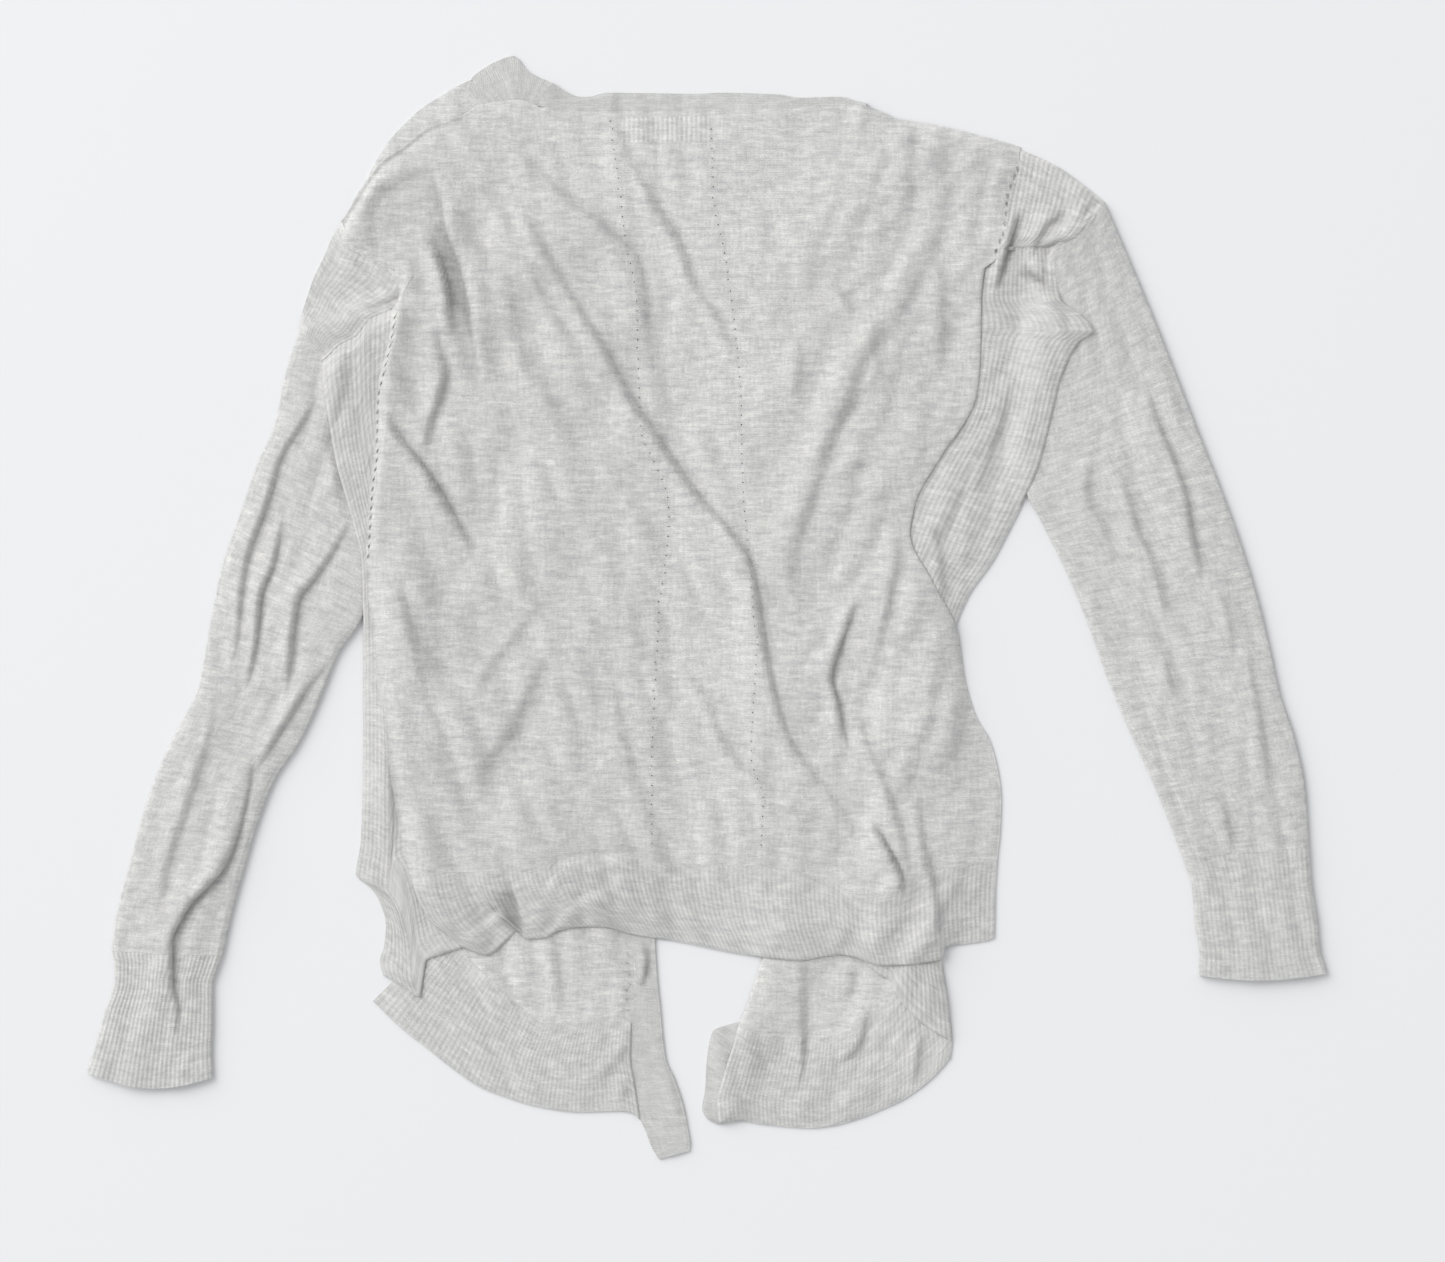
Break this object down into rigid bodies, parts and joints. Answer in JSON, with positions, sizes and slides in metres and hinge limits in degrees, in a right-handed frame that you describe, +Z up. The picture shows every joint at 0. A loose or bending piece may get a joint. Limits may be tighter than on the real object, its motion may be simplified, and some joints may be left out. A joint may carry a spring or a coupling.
{
  "type": "knitted cardigan laid flat",
  "caption": "Fine-gauge knitted cardigan lying flat with its back up, with ribbed side panels, hems and cuffs, narrow bands and rows of eyelets.",
  "frame": {"origin": "on the surface that the cardigan lies on, below the centre of its outline", "axes": "+Z up from that surface, +Y towards the neck, +X towards the sleeve on the viewer's right seen from above"},
  "size_m": [0.8262, 0.7354, 0.0117],
  "materials": {
    "jersey_knit": "fine plain knit in a pale warm grey marl yarn, matt with a slight fuzz",
    "rib_knit": "fine ribbed knit in the same pale warm grey marl yarn",
    "band_knit": "close plain knit in the same pale warm grey marl yarn"
  },
  "bodies": {
    "root": {"back_panel": "jersey_knit", "left_front": "jersey_knit", "right_front": "jersey_knit", "left_sleeve": "jersey_knit", "right_sleeve": "jersey_knit", "back_hem_rib": "rib_knit", "left_front_hem_rib": "rib_knit", "right_front_hem_rib": "rib_knit", "left_side_panel": "rib_knit", "right_side_panel": "rib_knit", "left_shoulder_rib": "rib_knit", "right_shoulder_rib": "rib_knit", "left_cuff": "rib_knit", "right_cuff": "rib_knit", "neck_band": "band_knit", "left_front_band": "band_knit", "right_front_band": "band_knit"}
  },
  "joints": []
}
